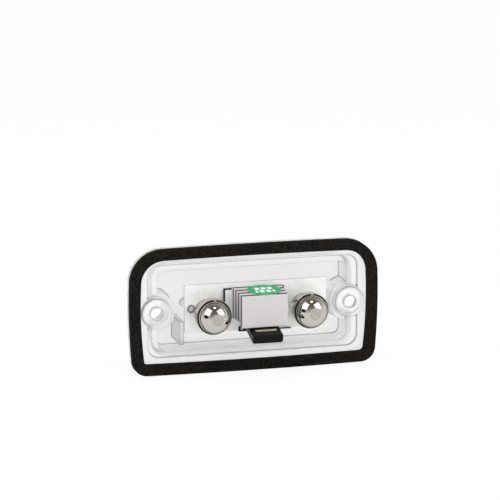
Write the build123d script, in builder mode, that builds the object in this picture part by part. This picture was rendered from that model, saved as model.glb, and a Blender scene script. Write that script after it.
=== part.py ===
# Number plate lamp for a car body, modelled from its fixing side.
# +X is right and +Z up as seen from the car body, -Y points at the body and +Y out through the lens.
# The origin lies midway between the two screw holes, on the seats of the screw bosses.
from build123d import *
import os
from math import acos, atan2, cos, degrees, radians, sin, sqrt

# Screw bosses, their holes 85 mm apart and set in from the ends of the flange
screw_inset = 11.9
screw_hole_d = 5.3
boss_d = 14.2
boss_base_d = 16.8
boss_seat_d = 12.4
boss_seat_r = 0.4
boss_floor = 3.2
well_wall = 2.7

# Lens flange, its edges slightly bowed and its sides leaning outwards at the top
flange_width = 108.8
flange_top = 28.0
flange_bottom = 26.8
flange_lean = 0.25
flange_t = 3.5
flange_edge_r = 1.2
edge_bow = 0.5
side_bow = 1.2
top_corner_r = 14.5
bottom_corner_r = 6.5

# Foam seal on the flange
seal_band = 4.6
seal_t = 3.0
seal_proud = 1.5
glue_t = 0.05
seal_edge_r = 0.5

# Shallow recess inside the seal, and the lamp pocket with its window
recess_margin = 8.2
recess_top = 20.5
recess_bottom = 19.6
recess_depth = 1.2
recess_r = 5.0
pocket_margin = 12.9
pocket_top = 17.6
pocket_bottom = 16.85
pocket_r = 3.5
pocket_draft = 3.0
rim_r = 0.5
rim_slack = 0.05
window_wall = 2.5
window_edge_r = 2.0

# Carrier plate and the lens posts that hold it
plate_width = 62.0
plate_top = 12.0
plate_bottom = 8.9
plate_t = 0.7
plate_stand = 1.5
plate_corner_r = 0.8
post_offset_x = 6.9
post_offset_z = 1.25
post_d = 3.2
post_gap = 0.3
spigot_d = 2.0
post_head_d = 3.4
post_head_t = 0.8
dimple_d = 1.2
dimple_depth = 0.3
pin_x = 29.2
pin_z = -7.4
pin_d = 1.6
pin_proud = 0.8
rib_gap = 0.4
rib_t = 1.8
rib_top = -3.5
rib_length = 10.0
plate_fit = 0.1
plate_boss_gap = 0.4
ear_length = 8.0
ear_width = 3.4
ear_turn = 35.0
ear_tilt = 30.0
ear_root = 1.2

# Bayonet bulbs, 9 mm class
lamp_spacing = 42.3
lamp_z = 0.45
bulb_cap_d = 9.25
bulb_glass_d = 8.8
bulb_length = 28.0
bulb_clearance = 1.65
bulb_cap_length = 13.4
bulb_cap_wall = 0.32
glass_wall = 0.5
bulb_neck = 3.8
bulb_tip_d = 3.4
bulb_tip_t = 1.2
bulb_cone_d = 6.0
bulb_cone_t = 2.5
bulb_pin_d = 1.9
bulb_pin_span = 10.9
bulb_pin_rise = 7.0
bulb_turn = 24.0
lead_d = 0.5
lead_gap = 4.0
filament_d = 0.8
filament_rise = 20.6

# Sockets: sleeve, insulator and bright domed cap
sleeve_fit = 0.12
sleeve_wall = 0.4
sleeve_ring = 1.2
sleeve_flange_d = 12.0
sleeve_flange_t = 0.5
slot_width = 2.2
dome_d = 14.6
dome_stand = 11.5
dome_flat_d = 5.3
dome_rim_d = 14.7
dome_skirt = 3.2
dome_wall = 0.45
insulator_fit = 0.08
insulator_skirt = 2.6
insulator_crown = 1.2

# Contact strip behind the plate
strip_t = 0.4
strip_width = 3.0
strip_band = 3.4
strip_gap = 1.8
riser_offset = 5.65
riser_gap = 0.5
leaf_reach = 1.5
leaf_rise = 13.8
leaf_foot = 2.6
leaf_bend_r = 0.8

# Connector: black base with plug mouth and latch lever, plug blades, grey cover and label
plinth_x = -1.0
plinth_width = 26.2
plinth_top = 9.75
plinth_bottom = 3.0
plinth_t = 1.2
plinth_rim = 0.5
core_width = 15.0
core_top = 7.0
core_bottom = 4.4
core_depth = 14.1
core_fit = 0.1
mouth_wall = 1.0
mouth_gap = 5.6
mouth_depth = 10.0
mouth_floor = 0.2
blade_x = 3.5
blade_t = 0.8
blade_width = 4.6
blade_length = 9.5
blade_root = 2.9
blade_tip = 0.7
blade_fit = 0.05
bush_wall = 1.2
foot_t = 0.7
foot_lip = 0.4
foot_left = 7.4
foot_right = 15.5
foot_rise = 1.8
foot_tab = 0.7
foot_web = 11.0
lever_width = 13.2
lever_t = 3.8
lever_slope = 15.5
lever_reach = 7.3
lever_wall = 0.6
lever_edge_r = 0.8
latch_plate_width = 9.5
latch_plate_length = 3.7
latch_plate_inset = 3.5
latch_plate_corner_r = 1.2
latch_plate_proud = 0.3
latch_plate_sink = 0.4
latch_plate_gap = 0.12
latch_plate_edge_r = 0.25
cover_width = 20.0
cover_top = 9.3
cover_bottom = 4.35
cover_depth = 15.7
cover_front_t = 2.3
cover_rear_grow = 1.3
cover_edge_r = 0.5
cover_flange_t = 0.8
groove_width = 1.5
groove_depth = 1.6
groove_steps = (0.7, 4.4, 8.1, 12.0)
label_x = 1.5
label_length = 14.6
label_width = 13.6
label_t = 0.15

# Widths that follow the flange
screw_spacing = flange_width - 2 * screw_inset
recess_width = flange_width - 2 * recess_margin
pocket_width = flange_width - 2 * pocket_margin

# Levels along Y that the pieces share
land_y = seal_t - seal_proud
plate_face_y = -plate_stand
plate_back_y = plate_face_y + plate_t
strip_y = plate_back_y + strip_gap
dome_y = plate_face_y - dome_stand
plinth_face_y = plate_face_y - plinth_t
core_face_y = plate_face_y - core_depth
cover_face_y = plate_face_y - cover_depth
mouth_floor_y = plinth_face_y - mouth_floor
mouth_front_y = mouth_floor_y - mouth_gap

# Radii of the round fits, each from the piece inside it
boss_r = boss_d / 2
boss_base_r = boss_base_d / 2
cap_r = bulb_cap_d / 2
sleeve_in_r = cap_r + sleeve_fit
sleeve_out_r = sleeve_in_r + sleeve_wall
dome_r = dome_d / 2
dome_in_r = dome_r - dome_wall
insulator_r = dome_in_r - insulator_fit
insulator_bore_r = bulb_pin_span / 2 + sleeve_fit

# Dome pole, leaf and bulb levels, stacked from the cap inwards
dome_pole_y = dome_y - sqrt(dome_r**2 - (dome_flat_d / 2) ** 2)
insulator_top_y = dome_pole_y + dome_wall + insulator_fit
leaf_y = insulator_top_y + insulator_crown
bulb_end_y = leaf_y + strip_t
bulb_front_y = bulb_end_y + bulb_length
cone_y = bulb_end_y + bulb_tip_t
cap_shoulder_y = cone_y + bulb_cone_t
cap_mouth_y = bulb_end_y + bulb_cap_length
cap_seat_y = cap_mouth_y - bulb_neck
bulb_pin_y = bulb_end_y + bulb_pin_rise
slot_end_y = bulb_pin_y - slot_width / 2
sleeve_end_y = slot_end_y - sleeve_ring

# Lens levels that clear the bulbs
pocket_floor_y = bulb_front_y + bulb_clearance
window_front_y = pocket_floor_y + window_wall

lamps = {"left": -lamp_spacing / 2, "right": lamp_spacing / 2}
lamp_places = [(x, lamp_z) for x in lamps.values()]
post_x = lamp_spacing / 2 + post_offset_x
post_z = lamp_z + post_offset_z
post_places = [(-post_x, post_z), (post_x, post_z)]


def facing(y):
    """Plane across the lamp at depth y: x to the right, y up, normal towards the car body."""
    return Plane.XZ.offset(-y)


def beside(x, z=0.0):
    """Plane along the lamp at x: local x up from z, local y towards the car body."""
    return Plane(origin=(x, 0, z), x_dir=(0, 0, 1), z_dir=(1, 0, 0))


def lamp_profile(x):
    """Plane through a lamp's axis: local x is the radius, local y runs with +Y."""
    return Plane(origin=(x, 0, lamp_z))


def lamp_axis(x):
    """The axis that a lamp's round pieces are turned about."""
    return Axis((x, 0, lamp_z), (0, 1, 0))


def flat_angle(radius, height):
    """Angle from the equator to where a sphere of this radius is cut off at this height."""
    return 90 - degrees(acos(height / radius))


def bowed_outline(inset):
    """Outline shared by flange and seal, moved in by inset: four bowed edges, large corners on top."""
    middle_x = flange_width / 2 - inset
    high_z = flange_top - inset
    low_z = inset - flange_bottom
    top_right = (middle_x + flange_lean - side_bow, high_z - edge_bow)
    top_left = (-top_right[0], top_right[1])
    low_right = (middle_x - flange_lean - side_bow, low_z + edge_bow)
    low_left = (-low_right[0], low_right[1])
    with BuildSketch() as face:
        with BuildLine():
            ThreePointArc(top_left, (0, high_z), top_right)
            ThreePointArc(top_right, (middle_x, 0), low_right)
            ThreePointArc(low_right, (0, low_z), low_left)
            ThreePointArc(low_left, (-middle_x, 0), top_left)
        make_face()
        fillet(face.vertices().group_by(Axis.Y)[-1], top_corner_r - inset)
        fillet(face.vertices().group_by(Axis.Y)[0], bottom_corner_r - inset)
    return face.sketch


def rim_edges(piece, level_y, half_width, half_height):
    """Edges of a hollow's rim at depth level_y that lie within these half sizes."""
    level = piece.edges().filter_by_position(Axis.Y, level_y - rim_slack, level_y + rim_slack)
    across = level.filter_by_position(Axis.X, -half_width - rim_slack, half_width + rim_slack)
    return across.filter_by_position(Axis.Z, -half_height - rim_slack, half_height + rim_slack)


def save(piece, name):
    piece.part.label = name
    export_step(piece.part, f"parts/{name}.step")


os.makedirs("parts", exist_ok=True)

# Lens: flange and window as one clear moulding, hollowed from the car-body side
with BuildPart() as lens:
    with BuildSketch(facing(land_y)):
        add(bowed_outline(0))
    extrude(amount=-flange_t)
    fillet(lens.faces().sort_by(Axis.Y)[-1].edges(), flange_edge_r)
    with BuildSketch(facing(land_y)):
        with Locations((0, (pocket_top - pocket_bottom) / 2)):
            RectangleRounded(
                pocket_width + 2 * window_wall,
                pocket_top + pocket_bottom + 2 * window_wall,
                pocket_r + window_wall,
            )
    extrude(amount=land_y - window_front_y, taper=pocket_draft)
    fillet(lens.faces().sort_by(Axis.Y)[-1].edges(), window_edge_r)

    # Shallow recess and deep pocket, both stopping at the screw bosses
    with BuildSketch(facing(land_y)):
        with Locations((0, (recess_top - recess_bottom) / 2)):
            RectangleRounded(recess_width, recess_top + recess_bottom, recess_r)
        with GridLocations(screw_spacing, 0, 2, 1):
            Circle(boss_r, mode=Mode.SUBTRACT)
    extrude(amount=-recess_depth, mode=Mode.SUBTRACT)
    with BuildSketch(facing(land_y)):
        with Locations((0, (pocket_top - pocket_bottom) / 2)):
            RectangleRounded(pocket_width, pocket_top + pocket_bottom, pocket_r)
        with GridLocations(screw_spacing, 0, 2, 1):
            Circle(boss_base_r, mode=Mode.SUBTRACT)
    extrude(amount=land_y - pocket_floor_y, taper=pocket_draft, mode=Mode.SUBTRACT)
    fillet(rim_edges(lens, land_y, recess_width / 2, recess_top), rim_r)
    fillet(rim_edges(lens, land_y + recess_depth, pocket_width / 2, pocket_top), rim_r)

    # Screw bosses: raised seat, hole, and a well for the screw head in front
    with BuildSketch(facing(land_y)):
        with GridLocations(screw_spacing, 0, 2, 1):
            Circle(boss_seat_d / 2)
    extrude(amount=land_y)
    seats = lens.edges().filter_by(GeomType.CIRCLE).filter_by(lambda e: e.radius == boss_seat_d / 2)
    fillet(seats.group_by(Axis.Y)[0], boss_seat_r)
    with BuildSketch(facing(0)):
        with GridLocations(screw_spacing, 0, 2, 1):
            Circle(screw_hole_d / 2)
    extrude(amount=-boss_floor, mode=Mode.SUBTRACT)
    with BuildSketch(facing(boss_floor)):
        with GridLocations(screw_spacing, 0, 2, 1):
            Circle(boss_base_r - well_wall)
    extrude(amount=boss_floor - window_front_y, mode=Mode.SUBTRACT)

    # Posts with staked heads, a side rib and a pin carry the plate above the pocket floor
    with BuildSketch(facing(pocket_floor_y)):
        with Locations(*post_places):
            Circle(post_d / 2)
    extrude(amount=pocket_floor_y - plate_back_y)
    with BuildSketch(facing(plate_back_y)):
        with Locations(*post_places):
            Circle(spigot_d / 2)
    extrude(amount=plate_t)
    with BuildSketch(facing(pocket_floor_y)):
        with Locations((-plate_width / 2 - rib_gap - rib_t / 2, rib_top - rib_length / 2)):
            Rectangle(rib_t, rib_length)
    extrude(amount=pocket_floor_y - plate_face_y)
    with BuildSketch(facing(pocket_floor_y)):
        with Locations((pin_x, pin_z)):
            Circle(pin_d / 2)
    extrude(amount=pocket_floor_y - plate_face_y + pin_proud)
    with BuildSketch(facing(plate_face_y)):
        with Locations(*post_places):
            Circle(post_head_d / 2)
    extrude(amount=post_head_t)
    heads = lens.edges().filter_by(GeomType.CIRCLE).filter_by(lambda e: e.radius == post_head_d / 2)
    fillet(heads.group_by(Axis.Y)[0], post_head_t / 2)
    with BuildSketch(facing(plate_face_y - post_head_t)):
        with Locations(*post_places):
            Circle(dimple_d / 2)
    extrude(amount=-dimple_depth, mode=Mode.SUBTRACT)
save(lens, "lens")

# Seal: foam band on a film of glue round the flange
with BuildPart() as seal:
    with BuildSketch(facing(land_y - glue_t)):
        add(bowed_outline(0))
    extrude(amount=seal_t - glue_t)
    fillet(seal.faces().sort_by(Axis.Y)[0].edges(), seal_edge_r)
    with BuildSketch(facing(land_y)):
        add(bowed_outline(seal_band))
    extrude(amount=seal_t, mode=Mode.SUBTRACT)
save(seal, "seal")

# Carrier plate: tin-plated sheet punched for sockets, risers, posts and connector, one ear bent back
with BuildPart() as carrier_plate:
    with BuildSketch(facing(plate_face_y)):
        with Locations((0, (plate_top - plate_bottom) / 2)):
            RectangleRounded(plate_width, plate_top + plate_bottom, plate_corner_r)
    extrude(amount=-plate_t)
    ear_run = cos(radians(ear_tilt))
    ear_slope = sin(radians(ear_tilt))
    ear_across = cos(radians(ear_turn))
    ear_down = sin(radians(ear_turn))
    ear_plane = Plane(
        origin=(
            plate_width / 2 - ear_root,
            (plate_face_y + plate_back_y) / 2,
            plate_top - ear_width / 2,
        ),
        x_dir=(ear_across * ear_run, ear_slope, -ear_down * ear_run),
        z_dir=(ear_across * ear_slope, -ear_run, -ear_down * ear_slope),
    )
    with BuildSketch(ear_plane):
        Rectangle(ear_length, ear_width, align=(Align.MIN, Align.CENTER))
    extrude(amount=plate_t / 2, both=True)
    with BuildSketch(facing(plate_face_y)):
        with GridLocations(screw_spacing, 0, 2, 1):
            Circle(boss_base_r + plate_boss_gap)
    extrude(amount=-ear_length, mode=Mode.SUBTRACT)
    with BuildSketch(facing(plate_face_y)):
        with Locations(*lamp_places):
            Circle(sleeve_out_r + plate_fit)
            with Locations((0, -riser_offset)):
                Rectangle(strip_width + 2 * riser_gap, strip_t + 2 * riser_gap)
        with Locations(*post_places):
            Circle(spigot_d / 2 + plate_fit)
        with Locations((pin_x, pin_z)):
            Circle(pin_d / 2 + plate_fit)
        blade_mid_z = mouth_depth - core_bottom - core_fit - blade_root / 2
        with Locations((-blade_x, blade_mid_z)):
            Rectangle(blade_t + 2 * blade_fit, blade_root + 2 * blade_fit)
        with Locations((blade_x, blade_mid_z)):
            Rectangle(
                blade_t + 2 * (blade_fit + bush_wall + plate_fit),
                blade_root + 2 * (blade_fit + bush_wall + plate_fit),
            )
    extrude(amount=-plate_t, mode=Mode.SUBTRACT)
save(carrier_plate, "carrier_plate")

# Latch lever: its top slopes down to the front, just below the cover and the latch plate's thickness
lever_sine = sin(radians(lever_slope))
lever_cosine = cos(radians(lever_slope))
lever_plane = Plane(
    origin=(0, core_face_y, -cover_bottom - latch_plate_proud - latch_plate_gap),
    x_dir=(1, 0, 0),
    z_dir=(0, -lever_sine, lever_cosine),
)
lever_back_y = mouth_front_y - lever_wall - lever_t * lever_sine
lever_length = lever_reach + (lever_back_y - core_face_y) / lever_cosine


def latch_outline(gap):
    """Outline of the latch plate on the lever, its front corners round, let out by gap all round."""
    with BuildSketch() as face:
        with Locations((0, latch_plate_inset - lever_reach - gap)):
            Rectangle(
                latch_plate_width + 2 * gap,
                latch_plate_length + 2 * gap,
                align=(Align.CENTER, Align.MIN),
            )
        fillet(face.vertices().group_by(Axis.Y)[0], latch_plate_corner_r + gap)
    return face.sketch


# Connector base: latch lever, plinth, core with the plug mouth below, supply bush and plate foot
with BuildPart() as connector_base:
    with BuildSketch(lever_plane):
        with Locations((0, -lever_reach)):
            Rectangle(lever_width, lever_length, align=(Align.CENTER, Align.MIN))
    extrude(amount=-lever_t)
    fillet(connector_base.edges(), lever_edge_r)
    with BuildSketch(lever_plane):
        add(latch_outline(core_fit))
    extrude(amount=-latch_plate_sink, mode=Mode.SUBTRACT)
    with BuildSketch(facing(plate_face_y)):
        with Locations((plinth_x, (plinth_top - plinth_bottom) / 2)):
            Rectangle(plinth_width, plinth_top + plinth_bottom)
    extrude(amount=plinth_t)
    with BuildSketch(facing(plate_face_y)):
        with Locations((0, core_top)):
            Rectangle(core_width, core_top + plinth_bottom, align=(Align.CENTER, Align.MAX))
            Rectangle(lever_width, core_top + core_bottom, align=(Align.CENTER, Align.MAX))
    extrude(amount=core_depth)
    with BuildSketch(facing(plate_face_y)):
        with Locations((blade_x, blade_mid_z)):
            Rectangle(
                blade_t + 2 * (blade_fit + bush_wall),
                blade_root + 2 * (blade_fit + bush_wall),
            )
    extrude(amount=plate_face_y - strip_y)
    with BuildSketch(Plane.XY.offset(-core_bottom)):
        with Locations((0, (mouth_floor_y + mouth_front_y) / 2)):
            Rectangle(lever_width - 2 * mouth_wall, mouth_gap)
    extrude(amount=mouth_depth, mode=Mode.SUBTRACT)
    with BuildSketch(facing(mouth_floor_y)):
        with Locations((-blade_x, blade_mid_z), (blade_x, blade_mid_z)):
            Rectangle(blade_t + 2 * blade_fit, blade_root + 2 * blade_fit)
    extrude(amount=mouth_floor_y - strip_y, mode=Mode.SUBTRACT)

    # Foot: a web down the plate, a tab on the left and a lip that hooks under the plate's lower edge
    foot_z = -plate_bottom - foot_lip
    with BuildSketch(facing(plate_face_y)):
        with Locations((0, foot_z)):
            Rectangle(foot_web, -foot_z - core_bottom, align=(Align.CENTER, Align.MIN))
        with Locations((-foot_left, foot_z)):
            Rectangle(foot_tab, foot_lip + foot_rise, align=(Align.MIN, Align.MIN))
            Rectangle(foot_left + foot_right, foot_lip, align=(Align.MIN, Align.MIN))
    extrude(amount=foot_t)
    with BuildSketch(facing(plate_face_y)):
        with Locations((-foot_left, foot_z)):
            Rectangle(foot_left + foot_right, foot_lip - plate_fit, align=(Align.MIN, Align.MIN))
    extrude(amount=-plate_t)
save(connector_base, "connector_base")

# Latch plate: small brass leaf let into the top of the lever
with BuildPart() as latch_plate:
    with BuildSketch(lever_plane.offset(-latch_plate_sink)):
        add(latch_outline(0))
    extrude(amount=latch_plate_sink + latch_plate_proud)
    fillet(latch_plate.faces().sort_by(Axis.Z)[-1].edges(), latch_plate_edge_r)
save(latch_plate, "latch_plate")

# Plug blades: flat stamped tabs, the supply one reaching the strip, the earth one staked in the plate
blade_ends = {"earth_blade": (-blade_x, plate_back_y), "supply_blade": (blade_x, strip_y)}
for name, (x, root_y) in blade_ends.items():
    with BuildPart() as blade:
        blade_top_z = mouth_depth - core_bottom - core_fit
        blade_mid_y = (mouth_floor_y + mouth_front_y) / 2
        with BuildSketch(beside(x)) as blade_shape:
            with Locations((blade_top_z - blade_length / 2, -blade_mid_y)):
                Rectangle(blade_length, blade_width)
            chamfer(blade_shape.vertices().group_by(Axis.X)[0], blade_tip)
            root_length = root_y - blade_mid_y
            with Locations((blade_top_z - blade_root / 2, -blade_mid_y - root_length / 2)):
                Rectangle(blade_root, root_length)
        extrude(amount=blade_t / 2, both=True)
    save(blade, name)


def cover_size(y):
    """Half width and top of the cover at depth y: both grow a little towards the plate."""
    grow = cover_rear_grow * (y - cover_face_y) / (plinth_face_y - cover_face_y)
    return cover_width / 2 + grow / 2, cover_top + grow


# Terminal cover: grey moulded hood over the core, open below, its sides shorter than its front,
# with four grooves round its sides and top
with BuildPart() as terminal_cover:
    for level_y in (plinth_face_y, cover_face_y):
        half_width, top_z = cover_size(level_y)
        with BuildSketch(facing(level_y)):
            with Locations((0, (top_z - cover_bottom) / 2)):
                Rectangle(2 * half_width, top_z + cover_bottom)
    loft()
    fillet(terminal_cover.faces().sort_by(Axis.Y)[0].edges(), cover_edge_r)
    for step in groove_steps:
        groove_y = cover_face_y + step
        half_width, top_z = cover_size(groove_y)
        with BuildSketch(facing(groove_y)):
            with Locations((0, top_z - cover_width)):
                Rectangle(3 * cover_width, 3 * cover_width)
            with Locations((0, top_z - groove_depth)):
                Rectangle(
                    2 * (half_width - groove_depth),
                    3 * cover_width,
                    align=(Align.CENTER, Align.MAX),
                    mode=Mode.SUBTRACT,
                )
        extrude(amount=-groove_width, mode=Mode.SUBTRACT)
    with BuildSketch(facing(plinth_face_y)):
        with Locations((plinth_x, (plinth_top - plinth_bottom) / 2)):
            Rectangle(plinth_width - 2 * plinth_rim, plinth_top + plinth_bottom - 2 * plinth_rim)
    extrude(amount=cover_flange_t)
    with BuildSketch(facing(plinth_face_y)):
        with Locations((0, core_top + core_fit)):
            Rectangle(
                core_width + 2 * core_fit,
                core_top + core_fit + cover_bottom,
                align=(Align.CENTER, Align.MAX),
            )
    extrude(amount=plinth_face_y - core_face_y + core_fit, mode=Mode.SUBTRACT)
    with BuildSketch(facing(plinth_face_y)):
        with Locations((plinth_x, plinth_rim - plinth_bottom)):
            Rectangle(2 * plinth_width, cover_depth, align=(Align.CENTER, Align.MAX))
    extrude(amount=plinth_face_y - cover_face_y - cover_front_t, mode=Mode.SUBTRACT)
save(terminal_cover, "terminal_cover")

# Label: thin oval sticker on the sloping top of the cover
with BuildPart() as label:
    cover_rise = cover_size(plinth_face_y)[1] - cover_top
    cover_run = plinth_face_y - cover_face_y
    slope = atan2(cover_rise, cover_run)
    label_plane = Plane(
        origin=(label_x, (plinth_face_y + cover_face_y) / 2, cover_top + cover_rise / 2),
        x_dir=(1, 0, 0),
        z_dir=(0, -sin(slope), cos(slope)),
    )
    with BuildSketch(label_plane):
        Ellipse(label_length / 2, label_width / 2)
    extrude(amount=label_t)
save(label, "label")

# Contact strip: stamped brass, one band behind the plate with a tab at the supply blade and two risers
with BuildPart() as contact_strip:
    riser_z = lamp_z - riser_offset
    with BuildSketch(facing(strip_y)):
        with Locations((0, riser_z + strip_t / 2)):
            Rectangle(lamp_spacing + strip_width, strip_band, align=(Align.CENTER, Align.MAX))
        tab_top_z = blade_mid_z + blade_root / 2
        with Locations((blade_x, tab_top_z)):
            Rectangle(strip_width, tab_top_z - riser_z, align=(Align.CENTER, Align.MAX))
    extrude(amount=-strip_t)
    leaf_mid_y = leaf_y + strip_t / 2
    for x in lamps.values():
        with BuildSketch(beside(x, lamp_z)):
            with BuildLine():
                FilletPolyline(
                    (-riser_offset, -strip_y - strip_t),
                    (-riser_offset, leaf_rise),
                    (-leaf_foot, -leaf_mid_y),
                    (leaf_reach, -leaf_mid_y),
                    radius=leaf_bend_r,
                )
            trace(line_width=strip_t)
        extrude(amount=strip_width / 2, both=True)
save(contact_strip, "contact_strip")

for name, x in lamps.items():
    # Socket sleeve: drawn tube flanged behind the plate, with two bayonet slots
    with BuildPart() as socket_sleeve:
        with BuildSketch(facing(plate_back_y + sleeve_flange_t)):
            with Locations((x, lamp_z)):
                Circle(sleeve_flange_d / 2)
                with Locations((0, -sleeve_out_r)):
                    Rectangle(
                        strip_width + 2 * riser_gap,
                        sleeve_flange_d,
                        align=(Align.CENTER, Align.MAX),
                        mode=Mode.SUBTRACT,
                    )
            with Locations(*post_places):
                Circle(post_d / 2 + post_gap, mode=Mode.SUBTRACT)
        extrude(amount=sleeve_flange_t)
        with BuildSketch(facing(plate_back_y + sleeve_flange_t)):
            with Locations((x, lamp_z)):
                Circle(sleeve_out_r)
        extrude(amount=plate_back_y + sleeve_flange_t - sleeve_end_y)
        with BuildSketch(facing(plate_back_y + sleeve_flange_t)):
            with Locations((x, lamp_z)):
                Circle(sleeve_in_r)
        extrude(amount=plate_back_y + sleeve_flange_t - sleeve_end_y, mode=Mode.SUBTRACT)
        with BuildSketch(facing(plate_back_y + sleeve_flange_t)):
            with Locations((x, lamp_z)):
                with PolarLocations(sleeve_in_r - sleeve_wall, 2):
                    Rectangle(sleeve_flange_d, slot_width, align=(Align.MIN, Align.CENTER))
        extrude(amount=plate_back_y + sleeve_flange_t - slot_end_y, mode=Mode.SUBTRACT)
        with BuildSketch(facing(slot_end_y)):
            with Locations((x, lamp_z)):
                for turn in (bulb_turn / 2, bulb_turn):
                    with PolarLocations(sleeve_in_r - sleeve_wall, 2, start_angle=turn):
                        Rectangle(sleeve_flange_d, slot_width, align=(Align.MIN, Align.CENTER))
        extrude(amount=-slot_width, mode=Mode.SUBTRACT)
    save(socket_sleeve, f"socket_sleeve_{name}")

    # Contact insulator: moulded plug on the end of the sleeve, slotted for the strip's riser and leaf
    with BuildPart() as contact_insulator:
        top_r = sqrt(insulator_r**2 - (dome_y - insulator_top_y) ** 2)
        crown = flat_angle(insulator_r, dome_y - insulator_top_y)
        floor_y = leaf_y - sleeve_fit
        with BuildSketch(lamp_profile(x)):
            with BuildLine():
                Polyline(
                    (top_r, insulator_top_y),
                    (0, insulator_top_y),
                    (0, floor_y),
                    (bulb_cone_d / 2, floor_y),
                    (sleeve_in_r, cap_shoulder_y),
                    (sleeve_in_r, sleeve_end_y),
                    (insulator_bore_r, sleeve_end_y),
                    (insulator_bore_r, dome_y + insulator_skirt),
                    (insulator_r, dome_y + insulator_skirt),
                    (insulator_r, dome_y),
                )
                CenterArc((0, dome_y), insulator_r, -crown, crown)
            make_face()
        revolve(axis=lamp_axis(x))
        with BuildSketch(facing(dome_y + insulator_skirt)):
            with Locations((x, lamp_z - leaf_reach)):
                Rectangle(
                    strip_width + riser_gap, dome_d, align=(Align.CENTER, Align.MAX)
                )
        extrude(amount=dome_y + insulator_skirt - floor_y, mode=Mode.SUBTRACT)
    save(contact_insulator, f"contact_insulator_{name}")

    # Socket cap: bright drawn dome with a small flat pole and a flared skirt
    with BuildPart() as socket_cap:
        inner_pole_y = dome_pole_y + dome_wall
        inner_flat_r = sqrt(dome_in_r**2 - (dome_y - inner_pole_y) ** 2)
        outer_crown = flat_angle(dome_r, dome_y - dome_pole_y)
        inner_crown = flat_angle(dome_in_r, dome_y - inner_pole_y)
        with BuildSketch(lamp_profile(x)):
            with BuildLine():
                Polyline(
                    (dome_flat_d / 2, dome_pole_y),
                    (0, dome_pole_y),
                    (0, inner_pole_y),
                    (inner_flat_r, inner_pole_y),
                )
                CenterArc((0, dome_y), dome_in_r, -inner_crown, inner_crown)
                Polyline(
                    (dome_in_r, dome_y),
                    (dome_rim_d / 2 - dome_wall, dome_y + dome_skirt),
                    (dome_rim_d / 2, dome_y + dome_skirt),
                    (dome_r, dome_y),
                )
                CenterArc((0, dome_y), dome_r, -outer_crown, outer_crown)
            make_face()
        revolve(axis=lamp_axis(x))
    save(socket_cap, f"socket_cap_{name}")

    # Bulb base: bayonet cap with a rolled mouth, two pins and a solder tip
    with BuildPart() as bulb_base:
        with BuildSketch(lamp_profile(x)):
            with BuildLine():
                Polyline(
                    (0, bulb_end_y),
                    (bulb_tip_d / 2, bulb_end_y),
                    (bulb_tip_d / 2, cone_y),
                    (bulb_cone_d / 2, cone_y),
                    (cap_r, cap_shoulder_y),
                    (cap_r, cap_mouth_y),
                    (cap_r - bulb_cap_wall, cap_mouth_y),
                    (cap_r - bulb_cap_wall, cap_seat_y),
                    (0, cap_seat_y),
                    close=True,
                )
            make_face()
        revolve(axis=lamp_axis(x))
        pin_plane = Plane(
            origin=(x, bulb_pin_y, lamp_z),
            x_dir=(0, 1, 0),
            z_dir=(cos(radians(bulb_turn)), 0, sin(radians(bulb_turn))),
        )
        with BuildSketch(pin_plane):
            Circle(bulb_pin_d / 2)
        extrude(amount=bulb_pin_span / 2, both=True)
    save(bulb_base, f"bulb_base_{name}")

    # Bulb glass: thin tubular envelope with a round end, its neck cemented in the base
    with BuildPart() as bulb_glass:
        glass_r = bulb_glass_d / 2
        neck_r = cap_r - bulb_cap_wall - glass_wall / 4
        crown_y = bulb_front_y - glass_r
        with BuildSketch(lamp_profile(x)):
            with BuildLine():
                Polyline(
                    (0, crown_y + glass_r - glass_wall),
                    (0, crown_y + glass_r),
                )
                CenterArc((0, crown_y), glass_r, 0, 90)
                Polyline(
                    (glass_r, crown_y),
                    (glass_r, cap_mouth_y + bulb_neck / 4),
                    (neck_r, cap_mouth_y),
                    (neck_r, cap_seat_y),
                    (neck_r - glass_wall, cap_seat_y),
                    (neck_r - glass_wall, cap_mouth_y),
                    (glass_r - glass_wall, cap_mouth_y + bulb_neck / 4),
                    (glass_r - glass_wall, crown_y),
                )
                CenterArc((0, crown_y), glass_r - glass_wall, 0, 90)
            make_face()
        revolve(axis=lamp_axis(x))
    save(bulb_glass, f"bulb_glass_{name}")

    # Bulb filament: coil between two lead wires that stand on the base
    with BuildPart() as bulb_filament:
        filament_y = bulb_end_y + filament_rise
        with BuildSketch(facing(cap_seat_y)):
            with Locations((x - lead_gap / 2, lamp_z), (x + lead_gap / 2, lamp_z)):
                Circle(lead_d / 2)
        extrude(amount=cap_seat_y - filament_y)
        with BuildSketch(beside(x, lamp_z)):
            with Locations((0, -filament_y)):
                Circle(filament_d / 2)
        extrude(amount=lead_gap / 2 + lead_d, both=True)
    save(bulb_filament, f"bulb_filament_{name}")
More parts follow.
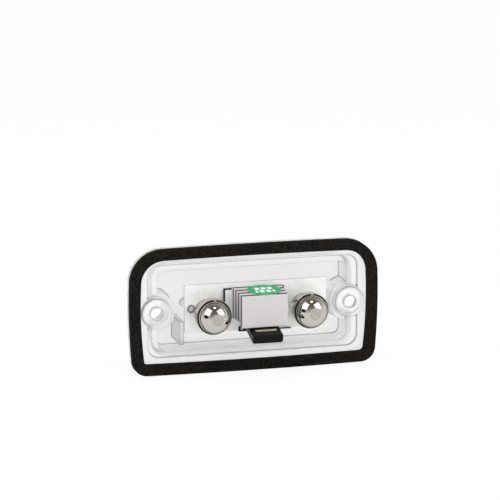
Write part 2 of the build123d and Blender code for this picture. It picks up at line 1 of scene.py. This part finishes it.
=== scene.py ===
import bpy
from math import atan2, cos, pi, radians, sin
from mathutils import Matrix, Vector


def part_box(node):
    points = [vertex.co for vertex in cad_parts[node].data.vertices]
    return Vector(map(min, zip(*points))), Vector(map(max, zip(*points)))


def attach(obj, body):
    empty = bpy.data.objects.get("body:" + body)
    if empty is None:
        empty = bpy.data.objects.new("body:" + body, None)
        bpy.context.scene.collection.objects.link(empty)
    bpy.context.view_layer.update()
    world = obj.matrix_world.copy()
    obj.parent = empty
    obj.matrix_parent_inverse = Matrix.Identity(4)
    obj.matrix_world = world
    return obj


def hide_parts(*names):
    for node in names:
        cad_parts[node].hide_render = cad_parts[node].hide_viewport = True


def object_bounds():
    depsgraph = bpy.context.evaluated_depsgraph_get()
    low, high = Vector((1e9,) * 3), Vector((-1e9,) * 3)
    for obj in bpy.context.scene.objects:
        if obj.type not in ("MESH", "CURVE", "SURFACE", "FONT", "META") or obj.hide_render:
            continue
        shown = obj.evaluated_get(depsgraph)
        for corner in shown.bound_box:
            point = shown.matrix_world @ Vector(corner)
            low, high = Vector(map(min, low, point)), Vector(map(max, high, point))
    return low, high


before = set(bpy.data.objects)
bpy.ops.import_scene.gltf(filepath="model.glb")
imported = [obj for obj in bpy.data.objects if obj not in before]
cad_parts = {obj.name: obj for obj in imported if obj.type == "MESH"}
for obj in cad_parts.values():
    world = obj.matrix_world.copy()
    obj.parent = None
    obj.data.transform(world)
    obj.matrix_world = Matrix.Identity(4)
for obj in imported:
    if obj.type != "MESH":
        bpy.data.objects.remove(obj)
cad_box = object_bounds()

# Lens moulding: flange, shallow recess, lamp pocket, screw bosses and staked posts in one shot of clear
# plastic. It is injection moulded, so its faces are a little hazy with a faint flow waviness. Its corners
# and edges, which bend the light away, are given painted shade: a darker colour in crevices and at thin
# rims.
lens_clear = (0.995, 0.988, 0.986, 1.0)
lens_edge_painted_shade = (0.12, 0.117, 0.115, 1.0)
lens_edge_reach = 0.0010
lens_rim_painted_shade = (0.3, 0.295, 0.29, 1.0)
lens_rim_reach = 0.0008
lens_waviness = 60.0
lens_wave_depth = 0.00002


def start_material(name, colour, roughness, metallic=0.0):
    material = bpy.data.materials.new(name)
    material.use_nodes = True
    shader = material.node_tree.nodes["Principled BSDF"]
    shader.inputs["Base Color"].default_value = colour
    shader.inputs["Roughness"].default_value = roughness
    shader.inputs["Metallic"].default_value = metallic
    return material, material.node_tree, shader


def add_grain(tree, scale, detail=3.0, stretch=(1.0, 1.0, 1.0)):
    where = tree.nodes.new("ShaderNodeTexCoord")
    turn = tree.nodes.new("ShaderNodeMapping")
    turn.inputs["Scale"].default_value = stretch
    grain = tree.nodes.new("ShaderNodeTexNoise")
    grain.inputs["Scale"].default_value = scale
    grain.inputs["Detail"].default_value = detail
    tree.links.new(where.outputs["Object"], turn.inputs["Vector"])
    tree.links.new(turn.outputs["Vector"], grain.inputs["Vector"])
    return grain.outputs["Fac"]


def add_bump(tree, shader, height, depth):
    bump = tree.nodes.new("ShaderNodeBump")
    bump.inputs["Distance"].default_value = depth
    bump.inputs["Strength"].default_value = 1.0
    tree.links.new(height, bump.inputs["Height"])
    tree.links.new(bump.outputs["Normal"], shader.inputs["Normal"])


def finish_node(name, material):
    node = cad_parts[name]
    node.data.materials.clear()
    node.data.materials.append(material)


# Painted shade: darkens the base colour by ambient occlusion, in crevices and corners, or with inside set,
# at thin rims and edges.
def add_painted_crevice_shade(tree, shader, reach, occluded_shade, low, high, lit_colour=(1.0, 1.0, 1.0, 1.0), inside=False):
    hollow = tree.nodes.new("ShaderNodeAmbientOcclusion")
    hollow.samples = 12
    hollow.only_local = True
    hollow.inside = inside
    hollow.inputs["Distance"].default_value = reach
    ramp = tree.nodes.new("ShaderNodeValToRGB")
    ramp.color_ramp.elements[0].position = low
    ramp.color_ramp.elements[0].color = occluded_shade
    ramp.color_ramp.elements[1].position = high
    ramp.color_ramp.elements[1].color = lit_colour
    tree.links.new(hollow.outputs["AO"], ramp.inputs["Fac"])
    if not shader.inputs["Base Color"].is_linked:
        tree.links.new(ramp.outputs["Color"], shader.inputs["Base Color"])
        return
    shaded_mix = tree.nodes.new("ShaderNodeMix")
    shaded_mix.data_type = "RGBA"
    shaded_mix.blend_type = "MULTIPLY"
    shaded_mix.inputs[0].default_value = 1.0
    tree.links.new(shader.inputs["Base Color"].links[0].from_socket, shaded_mix.inputs[6])
    tree.links.new(ramp.outputs["Color"], shaded_mix.inputs[7])
    tree.links.new(shaded_mix.outputs[2], shader.inputs["Base Color"])


clear_plastic, tree, shader = start_material("clear_plastic", lens_clear, roughness=0.3)
# Painted shade on the lens: darker in crevices and corners, and along thin rims and edges.
add_painted_crevice_shade(tree, shader, lens_edge_reach, lens_edge_painted_shade, low=0.56, high=0.86, lit_colour=lens_clear)
add_painted_crevice_shade(tree, shader, lens_rim_reach, lens_rim_painted_shade, low=0.5, high=0.88, inside=True)
shader.inputs["Transmission Weight"].default_value = 0.82
shader.inputs["IOR"].default_value = 1.4
add_bump(tree, shader, add_grain(tree, scale=lens_waviness, detail=2.0), depth=lens_wave_depth)
finish_node("lens", clear_plastic)

# Seal: ring die-cut from closed-cell foam rubber sheet and glued to the lens flange.
# The cut cells leave it matt black with a fine grain of pores.
foam_dark = (0.0035, 0.003, 0.0026, 1.0)
foam_light = (0.019, 0.017, 0.0145, 1.0)
foam_cell = 1500.0


def add_tone(tree, shader, height, dark, light, low=0.35, high=0.65):
    ramp = tree.nodes.new("ShaderNodeValToRGB")
    ramp.color_ramp.elements[0].position = low
    ramp.color_ramp.elements[0].color = dark
    ramp.color_ramp.elements[1].position = high
    ramp.color_ramp.elements[1].color = light
    tree.links.new(height, ramp.inputs["Fac"])
    tree.links.new(ramp.outputs["Color"], shader.inputs["Base Color"])


foam_rubber, tree, shader = start_material("foam_rubber", foam_dark, roughness=0.85)
shader.inputs["Specular IOR Level"].default_value = 0.05
pores = add_grain(tree, scale=foam_cell, detail=4.0)
add_tone(tree, shader, pores, foam_dark, foam_light, low=0.38, high=0.66)
add_bump(tree, shader, pores, depth=0.00012)
finish_node("seal", foam_rubber)

# Carrier plate: stamped sheet steel, tin plated to a satin grey, staked to the lens posts.
# The rolled sheet keeps faint drawn streaks along its length and a cloudy tin bloom, and its sheared
# edges are bare dark steel.
tin_dark = (0.82, 0.825, 0.81, 1.0)
tin_light = (0.93, 0.925, 0.91, 1.0)
tin_edge = (0.20, 0.21, 0.195, 1.0)


def add_roughness(tree, shader, height, smooth, rough):
    spread = tree.nodes.new("ShaderNodeMapRange")
    spread.inputs["To Min"].default_value = smooth
    spread.inputs["To Max"].default_value = rough
    tree.links.new(height, spread.inputs["Value"])
    tree.links.new(spread.outputs["Result"], shader.inputs["Roughness"])


tinned_sheet, tree, shader = start_material("tinned_sheet", tin_light, roughness=0.45, metallic=0.2)
bloom = add_grain(tree, scale=260.0, detail=4.0)
add_tone(tree, shader, bloom, tin_dark, tin_light, low=0.3, high=0.7)
faces = tree.nodes.new("ShaderNodeTexCoord")
split = tree.nodes.new("ShaderNodeSeparateXYZ")
flat = tree.nodes.new("ShaderNodeMath")
flat.operation = "ABSOLUTE"
sheared = tree.nodes.new("ShaderNodeMix")
sheared.data_type = "RGBA"
sheared.inputs[6].default_value = tin_edge
tree.links.new(faces.outputs["Normal"], split.inputs["Vector"])
tree.links.new(split.outputs["Y"], flat.inputs[0])
tree.links.new(flat.outputs[0], sheared.inputs[0])
tree.links.new(shader.inputs["Base Color"].links[0].from_socket, sheared.inputs[7])
tree.links.new(sheared.outputs[2], shader.inputs["Base Color"])
streaks = add_grain(tree, scale=900.0, detail=2.0, stretch=(0.05, 1.0, 1.0))
add_roughness(tree, shader, streaks, smooth=0.38, rough=0.54)
add_bump(tree, shader, streaks, depth=0.00001)
finish_node("carrier_plate", tinned_sheet)

# Connector base: black moulding seated on the plate, with the plug mouth and the latch lever below.
# Moulded glass-filled plastic: satin, with a fine eroded texture.
black_low = (0.002, 0.002, 0.002, 1.0)
black_high = (0.006, 0.006, 0.0055, 1.0)
black_plastic, tree, shader = start_material("black_plastic", black_low, roughness=0.35)
shader.inputs["Specular IOR Level"].default_value = 0.1
texture = add_grain(tree, scale=2400.0, detail=3.0)
add_tone(tree, shader, texture, black_low, black_high)
add_roughness(tree, shader, texture, smooth=0.26, rough=0.4)
add_bump(tree, shader, texture, depth=0.00004)
finish_node("connector_base", black_plastic)

# Brass pieces: latch plate, two plug blades and the contact strip, all stamped from rolled strip.
# The rolling leaves fine streaks, and handling dulls the yellow in patches. The latch plate has painted
# shade towards the rear, under the cover, and a painted highlight, lit bright, along its front.
brass_dull = (0.52, 0.39, 0.20, 1.0)
brass_bright = (0.78, 0.62, 0.36, 1.0)
brass, tree, shader = start_material("brass", brass_bright, roughness=0.3, metallic=1.0)
patches = add_grain(tree, scale=350.0, detail=3.0)
add_tone(tree, shader, patches, brass_dull, brass_bright)
rolling = add_grain(tree, scale=1500.0, detail=2.0, stretch=(1.0, 0.06, 1.0))
add_roughness(tree, shader, rolling, smooth=0.24, rough=0.42)
add_bump(tree, shader, rolling, depth=0.00001)
for name in ("supply_blade", "earth_blade", "contact_strip"):
    finish_node(name, brass)
latch_painted_shade = (0.05, 0.042, 0.032, 1.0)
latch_painted_light = (0.66, 0.60, 0.50, 1.0)
latch_brass, tree, shader = start_material("latch_brass", latch_painted_light, roughness=0.14, metallic=1.0)
# Painted shade and painted highlight: the latch plate is dark at its rear, under the cover, and lit bright
# at its front, by object Y.
where = tree.nodes.new("ShaderNodeTexCoord")
split = tree.nodes.new("ShaderNodeSeparateXYZ")
shade_along_y = tree.nodes.new("ShaderNodeMapRange")
shade_along_y.inputs["From Min"].default_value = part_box("latch_plate")[1][1]
shade_along_y.inputs["From Max"].default_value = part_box("latch_plate")[0][1]
tree.links.new(where.outputs["Object"], split.inputs["Vector"])
tree.links.new(split.outputs["Y"], shade_along_y.inputs["Value"])
add_tone(tree, shader, shade_along_y.outputs["Result"], latch_painted_shade, latch_painted_light, low=0.4, high=0.62)
add_roughness(tree, shader, add_grain(tree, scale=600.0, detail=3.0), smooth=0.08, rough=0.2)
finish_node("latch_plate", latch_brass)

# Bulb bases and socket sleeves: drawn from thin sheet and nickel plated, with the turned rings
# that the drawing leaves round them.
sleeve_dull = (0.50, 0.49, 0.47, 1.0)
sleeve_bright = (0.72, 0.71, 0.68, 1.0)
nickel_sleeve, tree, shader = start_material("nickel_sleeve", sleeve_bright, roughness=0.28, metallic=1.0)
drawn = add_grain(tree, scale=700.0, detail=2.0, stretch=(0.05, 1.0, 0.05))
add_tone(tree, shader, drawn, sleeve_dull, sleeve_bright)
add_roughness(tree, shader, drawn, smooth=0.2, rough=0.36)
add_bump(tree, shader, drawn, depth=0.00001)
for side in ("left", "right"):
    finish_node(f"socket_sleeve_{side}", nickel_sleeve)
    finish_node(f"bulb_base_{side}", nickel_sleeve)

# Contact insulators: brown phenolic mouldings under the caps, which keep the strip off the plating.
# The filler in the resin shows as fine lighter flecks.
resin_dark = (0.07, 0.03, 0.015, 1.0)
resin_light = (0.16, 0.08, 0.04, 1.0)
brown_moulding, tree, shader = start_material("brown_moulding", resin_dark, roughness=0.5)
flecks = add_grain(tree, scale=1600.0, detail=4.0)
add_tone(tree, shader, flecks, resin_dark, resin_light)
add_bump(tree, shader, flecks, depth=0.00003)
for side in ("left", "right"):
    finish_node(f"contact_insulator_{side}", brown_moulding)

# Socket caps: domes drawn from thin sheet, with a flat pole, seated in a rolled collar and plated in
# bright nickel. The polish leaves a warm mirror, barely wavy. The groove round the dome is painted near
# black as painted shade, except at two tabs, and the press pin dulls the flat pole.
cap_flat = 0.00265
cap_crown = 0.0070
cap_foot = radians(88.0)
groove_wide = 0.00042
groove_deep = 0.0002
collar_wide = 0.0002
cap_wall = 0.00045
cap_inner = 0.00685
cap_skirt = 0.0032
cap_sides = 120
cap_steps = 48
inner_steps = 16
tab_sides = 2
pole_hole = 0.0002
pole_ring = 0.0013
pole_edge = 0.0002
pole_lift = 0.00001
pole_turn = 0.01
fold = 0.00004
rim_round = 0.0001
nickel_warm = (0.55, 0.525, 0.49, 1.0)
nickel_dull = (0.45, 0.425, 0.39, 1.0)
cap_shade_dark = (0.008, 0.007, 0.006, 1.0)
cap_shade_light = (0.030, 0.026, 0.022, 1.0)
bright_nickel, tree, shader = start_material("bright_nickel", nickel_warm, roughness=0.07, metallic=1.0)
shader.inputs["Specular Tint"].default_value = (0.85, 0.84, 0.82, 1.0)
polish = add_grain(tree, scale=260.0, detail=2.0)
add_roughness(tree, shader, polish, smooth=0.04, rough=0.12)
add_bump(tree, shader, polish, depth=0.000008)
pin_mark, tree, shader = start_material("pin_mark", nickel_dull, roughness=0.18, metallic=1.0)
rubbed = add_grain(tree, scale=900.0, detail=3.0)
add_tone(tree, shader, rubbed, nickel_dull, nickel_warm, low=0.4, high=0.9)
add_roughness(tree, shader, rubbed, smooth=0.12, rough=0.26)
# Painted shade: near-black material for the groove round the dome.
cap_groove_painted_shade, tree, shader = start_material("cap_groove_painted_shade", cap_shade_dark, roughness=0.8)
shader.inputs["Specular IOR Level"].default_value = 0.1
add_tone(tree, shader, add_grain(tree, scale=2000.0, detail=3.0), cap_shade_dark, cap_shade_light)


def add_arc(line, centre_y, radius, start, end, steps):
    for step in range(steps + 1):
        turn = start + (end - start) * step / steps
        line.append((radius * sin(turn), centre_y - radius * cos(turn)))


def turn_mesh(name, line, axis_x, axis_z, sides):
    points = []
    faces = []
    for r, y in line:
        for k in range(sides):
            turn = 2 * pi * k / sides
            points.append((axis_x + r * sin(turn), y, axis_z + r * cos(turn)))
    for row in range(len(line) - 1):
        near = row * sides
        far = near + sides
        for k in range(sides):
            side = (k + 1) % sides
            faces.append((near + k, near + side, far + side, far + k))
    faces.append(tuple(reversed(range(sides))))
    faces.append(tuple(range((len(line) - 1) * sides, len(line) * sides)))
    mesh = bpy.data.meshes.new(name)
    mesh.from_pydata(points, [], faces)
    mesh.polygons.foreach_set("use_smooth", [True] * len(mesh.polygons))
    return mesh


for side in ("left", "right"):
    low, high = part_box(f"socket_cap_{side}")
    axis_x = (low[0] + high[0]) / 2
    axis_z = (low[2] + high[2]) / 2
    crown_y = low[1] + (cap_crown**2 - cap_flat**2) ** 0.5
    line = [(pole_hole, low[1]), (pole_ring, low[1]), (cap_flat - pole_edge, low[1])]
    line.append((cap_flat - pole_edge / 2, low[1] + pole_lift))
    add_arc(line, crown_y, cap_crown, atan2(cap_flat, crown_y - low[1]) + pole_turn, cap_foot, cap_steps)
    foot_r, foot_y = line[-1]
    collar_in = foot_r + groove_wide
    collar_r = collar_in + collar_wide
    groove_start = len(line) - 1
    line.append((foot_r, foot_y + fold / 2))
    line.append((foot_r + fold / 2, foot_y + groove_deep))
    line.append((collar_in, foot_y + groove_deep))
    line.append((collar_in, foot_y + rim_round))
    groove_end = len(line) - 1
    line.append((collar_in + fold, foot_y + fold / 2))
    line.append((collar_in + collar_wide / 2, foot_y))
    line.append((collar_r - fold, foot_y + fold))
    line.append((collar_r, foot_y + rim_round + fold))
    line.append((collar_r, foot_y + 2 * rim_round + fold))
    line.append((collar_r, high[1] - 2 * rim_round))
    line.append((collar_r, high[1] - rim_round))
    line.append((collar_r - rim_round, high[1]))
    line.append((cap_inner + rim_round / 2, high[1]))
    inner_y = high[1] - cap_skirt
    inner_flat = inner_y - low[1] - cap_wall
    inner_turn = atan2((cap_inner**2 - inner_flat**2) ** 0.5, inner_flat)
    add_arc(line, inner_y, cap_inner, pi / 2, inner_turn, inner_steps)
    line.append((pole_hole, low[1] + cap_wall))
    mesh = turn_mesh(f"cap_{side}", line, axis_x, axis_z, cap_sides)
    mesh.materials.append(bright_nickel)
    mesh.materials.append(cap_groove_painted_shade)
    mesh.materials.append(pin_mark)
    for number in (*range(2 * cap_sides), len(mesh.polygons) - 2):
        mesh.polygons[number].material_index = 2
    # The groove faces, except at the two tabs, take the painted shade material.
    for row in range(groove_start, groove_end):
        for k in range(cap_sides):
            to_tab = min((k - half * cap_sides // 2) % cap_sides for half in (0, 1))
            if to_tab >= tab_sides:
                mesh.polygons[row * cap_sides + k].material_index = 1
    cap = bpy.data.objects.new(f"cap_{side}", mesh)
    bpy.context.scene.collection.objects.link(cap)
    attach(cap, "root")
    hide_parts(f"socket_cap_{side}")

# Bulbs: blown glass envelopes cemented into the bases. In each one a coil of drawn tungsten wire hangs
# between two stouter lead wires, which stand on the base and hold its ends.
glass_clear = (0.98, 0.98, 0.98, 1.0)
tungsten_grey = (0.3, 0.29, 0.28, 1.0)
lead_spread = 0.0020
lead_thick = 0.00022
lead_steps = 12
lead_sides = 12
coil_thick = 0.00006
coil_turns = 16
coil_steps = 20
coil_sides = 8
bulb_glass, tree, shader = start_material("bulb_glass", glass_clear, roughness=0.01)
shader.inputs["Transmission Weight"].default_value = 1.0
shader.inputs["IOR"].default_value = 1.5
add_bump(tree, shader, add_grain(tree, scale=150.0, detail=2.0), depth=0.00001)
tungsten, tree, shader = start_material("tungsten", tungsten_grey, roughness=0.35, metallic=1.0)
wire = add_grain(tree, scale=3000.0, detail=2.0)
add_roughness(tree, shader, wire, smooth=0.28, rough=0.45)


def add_wire(points, faces, path, thick, sides):
    first = len(points)
    for number, spot in enumerate(path):
        along = (path[min(number + 1, len(path) - 1)] - path[max(number - 1, 0)]).normalized()
        across = along.cross(Vector((1.0, 0.0, 0.0))).normalized()
        over = along.cross(across)
        for k in range(sides):
            turn = 2 * pi * k / sides
            points.append(spot + across * (thick * cos(turn)) + over * (thick * sin(turn)))
    for row in range(len(path) - 1):
        near = first + row * sides
        for k in range(sides):
            side = (k + 1) % sides
            faces.append((near + k, near + side, near + sides + side, near + sides + k))
    last = first + (len(path) - 1) * sides
    faces.append(tuple(reversed(range(first, first + sides))))
    faces.append(tuple(range(last, last + sides)))


for side in ("left", "right"):
    finish_node(f"bulb_glass_{side}", bulb_glass)
    low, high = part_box(f"bulb_filament_{side}")
    middle_x = (low[0] + high[0]) / 2
    middle_z = (low[2] + high[2]) / 2
    coil_r = (high[2] - low[2]) / 2 - coil_thick
    coil_y = high[1] - coil_r - coil_thick
    coil_half = (high[0] - low[0]) / 2 - coil_thick
    points = []
    faces = []
    coil = []
    for step in range(coil_turns * coil_steps + 1):
        turn = 2 * pi * step / coil_steps
        x = middle_x + coil_half * (2 * step / (coil_turns * coil_steps) - 1)
        coil.append(Vector((x, coil_y + coil_r * sin(turn), middle_z + coil_r * cos(turn))))
    add_wire(points, faces, coil, coil_thick, coil_sides)
    for way in (-1, 1):
        lead = []
        for step in range(lead_steps + 1):
            y = low[1] + (coil_y - low[1]) * step / lead_steps
            lead.append(Vector((middle_x + way * lead_spread, y, middle_z)))
        add_wire(points, faces, lead, lead_thick, lead_sides)
    mesh = bpy.data.meshes.new(f"filament_{side}")
    mesh.from_pydata(points, [], faces)
    mesh.polygons.foreach_set("use_smooth", [True] * len(mesh.polygons))
    mesh.materials.append(tungsten)
    filament = bpy.data.objects.new(f"filament_{side}", mesh)
    bpy.context.scene.collection.objects.link(filament)
    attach(filament, "root")
    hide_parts(f"bulb_filament_{side}")

# Terminal cover: light grey moulded hood clipped over the connector core, with ribs on its sides and top.
# The plastic is matt, with a fine eroded grain. The grooves get painted shade, and the thin foot is painted
# paler as painted light.
groove_steps = (0.0007, 0.0044, 0.0081, 0.0120)
groove_width = 0.0015
cover_groove_painted_shade = (0.13, 0.127, 0.125, 1.0)
cover_foot = 0.0008
cover_foot_painted_light = (0.84, 0.835, 0.835, 1.0)
band_slack = 0.00003
grey_low = (0.49, 0.472, 0.472, 1.0)
grey_high = (0.565, 0.542, 0.542, 1.0)
grey_plastic, tree, shader = start_material("grey_plastic", grey_high, roughness=0.55)
erosion = add_grain(tree, scale=2200.0, detail=4.0)
add_tone(tree, shader, erosion, grey_low, grey_high)
add_bump(tree, shader, erosion, depth=0.00005)
where = tree.nodes.new("ShaderNodeTexCoord")
split = tree.nodes.new("ShaderNodeSeparateXYZ")
tree.links.new(where.outputs["Object"], split.inputs["Vector"])
cover_low, cover_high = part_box("terminal_cover")
# Painted shade in the grooves and painted light on the foot, as bands of base colour along object Y.
bands = [(cover_low[1] + step + groove_width / 2, groove_width / 2, cover_groove_painted_shade) for step in groove_steps]
bands.append((cover_high[1] - cover_foot / 2, cover_foot / 2, cover_foot_painted_light))
for band_y, band_half, colour in bands:
    within = tree.nodes.new("ShaderNodeMath")
    within.operation = "COMPARE"
    within.inputs[1].default_value = band_y
    within.inputs[2].default_value = band_half + band_slack
    painted_band = tree.nodes.new("ShaderNodeMix")
    painted_band.data_type = "RGBA"
    painted_band.inputs[7].default_value = colour
    tree.links.new(split.outputs["Y"], within.inputs[0])
    tree.links.new(within.outputs[0], painted_band.inputs[0])
    tree.links.new(shader.inputs["Base Color"].links[0].from_socket, painted_band.inputs[6])
    tree.links.new(painted_band.outputs[2], shader.inputs["Base Color"])
finish_node("terminal_cover", grey_plastic)

# Label: oval sticker of green printed film, stuck on the sloping top of the cover.
# Two rows of plain white bars are printed across its middle.
label_green = (0.014, 0.36, 0.12, 1.0)
label_green_deep = (0.009, 0.29, 0.095, 1.0)
label_white = (0.85, 0.87, 0.85, 1.0)
bar_length = 0.0028
bar_row = 0.0036
bar_gap = 0.0005
print_half = (0.0042, 0.0034)
green_label, tree, shader = start_material("green_label", label_green, roughness=0.35)
shader.inputs["Specular IOR Level"].default_value = 0.25
ink = add_grain(tree, scale=900.0, detail=3.0)
add_tone(tree, shader, ink, label_green_deep, label_green)
label_low, label_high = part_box("label")
where = tree.nodes.new("ShaderNodeTexCoord")
centre = tree.nodes.new("ShaderNodeMapping")
centre.inputs["Location"].default_value = (
    -(label_low[0] + label_high[0]) / 2,
    -(label_low[1] + label_high[1]) / 2,
    0.0,
)
bars = tree.nodes.new("ShaderNodeTexBrick")
bars.inputs["Color1"].default_value = (1.0, 1.0, 1.0, 1.0)
bars.inputs["Color2"].default_value = (1.0, 1.0, 1.0, 1.0)
bars.inputs["Mortar"].default_value = (0.0, 0.0, 0.0, 1.0)
bars.inputs["Scale"].default_value = 1.0
bars.inputs["Mortar Size"].default_value = bar_gap
bars.inputs["Brick Width"].default_value = bar_length
bars.inputs["Row Height"].default_value = bar_row
tree.links.new(where.outputs["Object"], centre.inputs["Vector"])
tree.links.new(centre.outputs["Vector"], bars.inputs["Vector"])
split = tree.nodes.new("ShaderNodeSeparateXYZ")
tree.links.new(centre.outputs["Vector"], split.inputs["Vector"])
inside = bars.outputs["Color"]
for axis, half in zip("XY", print_half):
    within = tree.nodes.new("ShaderNodeMath")
    within.operation = "COMPARE"
    within.inputs[1].default_value = 0.0
    within.inputs[2].default_value = half
    both = tree.nodes.new("ShaderNodeMath")
    both.operation = "MULTIPLY"
    tree.links.new(split.outputs[axis], within.inputs[0])
    tree.links.new(within.outputs[0], both.inputs[0])
    tree.links.new(inside, both.inputs[1])
    inside = both.outputs[0]
printed = tree.nodes.new("ShaderNodeMix")
printed.data_type = "RGBA"
printed.inputs[7].default_value = label_white
tree.links.new(inside, printed.inputs[0])
tree.links.new(shader.inputs["Base Color"].links[0].from_socket, printed.inputs[6])
tree.links.new(printed.outputs[2], shader.inputs["Base Color"])
finish_node("label", green_label)

# Studio floor: wide white paper under the lamp. The camera, metal and glass see it as white,
# and it keeps a faint share of the lamp's shadow.
floor_half = 4.0
floor_z = cad_box[0][2]
white_share = 0.88
paper_white = (0.9, 0.9, 0.9, 1.0)
mesh = bpy.data.meshes.new("studio_floor")
corners = [(-floor_half, -floor_half, floor_z), (floor_half, -floor_half, floor_z)]
corners += [(floor_half, floor_half, floor_z), (-floor_half, floor_half, floor_z)]
mesh.from_pydata(corners, [], [(0, 1, 2, 3)])
studio_floor = bpy.data.objects.new("studio_floor", mesh)
bpy.context.scene.collection.objects.link(studio_floor)
paper, tree, shader = start_material("white_paper", paper_white, roughness=0.9)
glow = tree.nodes.new("ShaderNodeEmission")
glow.inputs["Strength"].default_value = 1.0
rays = tree.nodes.new("ShaderNodeLightPath")
seen = tree.nodes.new("ShaderNodeMath")
seen.operation = "ADD"
seen_all = tree.nodes.new("ShaderNodeMath")
seen_all.operation = "ADD"
seen_all.use_clamp = True
share = tree.nodes.new("ShaderNodeMath")
share.operation = "MULTIPLY"
share.inputs[1].default_value = white_share
blend = tree.nodes.new("ShaderNodeMixShader")
tree.links.new(rays.outputs["Is Camera Ray"], seen.inputs[0])
tree.links.new(rays.outputs["Is Glossy Ray"], seen.inputs[1])
tree.links.new(seen.outputs[0], seen_all.inputs[0])
tree.links.new(rays.outputs["Is Transmission Ray"], seen_all.inputs[1])
tree.links.new(seen_all.outputs[0], share.inputs[0])
tree.links.new(share.outputs[0], blend.inputs["Fac"])
tree.links.new(shader.outputs["BSDF"], blend.inputs[1])
tree.links.new(glow.outputs["Emission"], blend.inputs[2])
tree.links.new(blend.outputs["Shader"], tree.nodes["Material Output"].inputs["Surface"])
mesh.materials.append(paper)

# Studio light: two large softboxes, up to the left and right of the camera, and one small lamp overhead.
# The ceiling between the softboxes is dim, a small dark flag stands low on the left, and the rest is white.
room_grey = (0.86, 0.86, 0.86, 1.0)
room_white = (1.0, 1.0, 1.0, 1.0)
ceiling_grey = (0.19, 0.175, 0.14, 1.0)
flag_black = (0.02, 0.02, 0.02, 1.0)


def add_softbox(name, turn, rise, distance, size, radiance):
    light = bpy.data.lights.new(name, "AREA")
    light.shape = "SQUARE"
    light.size = size
    light.energy = radiance * pi * size * size
    lamp = bpy.data.objects.new(name, light)
    spot = Vector((sin(turn) * cos(rise), -cos(turn) * cos(rise), sin(rise))) * distance
    lamp.location = spot
    lamp.rotation_euler = (-spot).to_track_quat("-Z", "Y").to_euler()
    bpy.context.scene.collection.objects.link(lamp)


add_softbox("softbox_left", turn=radians(-72.0), rise=radians(40.0), distance=1.2, size=0.9, radiance=2.2)
add_softbox("softbox_right", turn=radians(44.0), rise=radians(37.0), distance=1.2, size=0.9, radiance=2.2)
add_softbox("overhead_lamp", turn=radians(0.0), rise=radians(80.0), distance=1.3, size=0.3, radiance=3.0)
world = bpy.data.worlds.new("studio_room")
bpy.context.scene.world = world
world.use_nodes = True
tree = world.node_tree
room = tree.nodes["Background"]
room.inputs["Color"].default_value = room_grey
white_room = tree.nodes.new("ShaderNodeBackground")
white_room.inputs["Color"].default_value = room_white
where = tree.nodes.new("ShaderNodeTexCoord")
rays = tree.nodes.new("ShaderNodeLightPath")


def add_room_side(turn, rise, dim, edge, core):
    toward = tree.nodes.new("ShaderNodeVectorMath")
    toward.operation = "DOT_PRODUCT"
    toward.inputs[1].default_value = (sin(turn) * cos(rise), -cos(turn) * cos(rise), sin(rise))
    fade = tree.nodes.new("ShaderNodeValToRGB")
    fade.color_ramp.elements[0].position = cos(edge)
    fade.color_ramp.elements[0].color = room_white
    fade.color_ramp.elements[1].position = cos(core)
    fade.color_ramp.elements[1].color = dim
    tree.links.new(where.outputs["Generated"], toward.inputs[0])
    tree.links.new(toward.outputs["Value"], fade.inputs["Fac"])
    return fade.outputs["Color"]


ceiling = add_room_side(radians(-15.0), radians(70.0), ceiling_grey, edge=radians(88.0), core=radians(25.0))
flag = add_room_side(radians(-73.0), radians(8.0), flag_black, edge=radians(19.0), core=radians(13.0))
dimmed = tree.nodes.new("ShaderNodeMix")
dimmed.data_type = "RGBA"
dimmed.blend_type = "MULTIPLY"
dimmed.inputs[0].default_value = 1.0
tree.links.new(ceiling, dimmed.inputs[6])
tree.links.new(flag, dimmed.inputs[7])
mirror_room = tree.nodes.new("ShaderNodeBackground")
tree.links.new(dimmed.outputs[2], mirror_room.inputs["Color"])
blend = tree.nodes.new("ShaderNodeMixShader")
tree.links.new(rays.outputs["Is Glossy Ray"], blend.inputs["Fac"])
tree.links.new(room.outputs["Background"], blend.inputs[1])
tree.links.new(mirror_room.outputs["Background"], blend.inputs[2])
lit = blend.outputs["Shader"]
blend = tree.nodes.new("ShaderNodeMixShader")
tree.links.new(rays.outputs["Is Transmission Ray"], blend.inputs["Fac"])
tree.links.new(lit, blend.inputs[1])
tree.links.new(white_room.outputs["Background"], blend.inputs[2])
lit = blend.outputs["Shader"]
blend = tree.nodes.new("ShaderNodeMixShader")
tree.links.new(rays.outputs["Is Camera Ray"], blend.inputs["Fac"])
tree.links.new(lit, blend.inputs[1])
tree.links.new(white_room.outputs["Background"], blend.inputs[2])
tree.links.new(blend.outputs["Shader"], tree.nodes["World Output"].inputs["Surface"])
bpy.context.scene.view_settings.view_transform = "Standard"

# Camera: a long lens that stands a little to the left of the lamp and above it, as the photograph's did.
# It is framed on a picture of 500 by 500, with the lamp's origin at a chosen pixel.
view_turn = radians(15.4)
view_rise = radians(13.5)
picture_px = 500
pixels_per_metre = 2358.5
camera_distance = 1.3
origin_px = (254.5, 308.0)
camera_data = bpy.data.cameras.new("camera")
camera_data.sensor_width = 36.0
camera_data.lens = pixels_per_metre * camera_distance * camera_data.sensor_width / picture_px
camera_data.shift_x = 0.5 - origin_px[0] / picture_px
camera_data.shift_y = origin_px[1] / picture_px - 0.5
camera = bpy.data.objects.new("camera", camera_data)
back = Vector((-sin(view_turn) * cos(view_rise), -cos(view_turn) * cos(view_rise), sin(view_rise)))
camera.location = back * camera_distance
camera.rotation_euler = (-back).to_track_quat("-Z", "Y").to_euler()
bpy.context.scene.collection.objects.link(camera)
bpy.context.scene.camera = camera
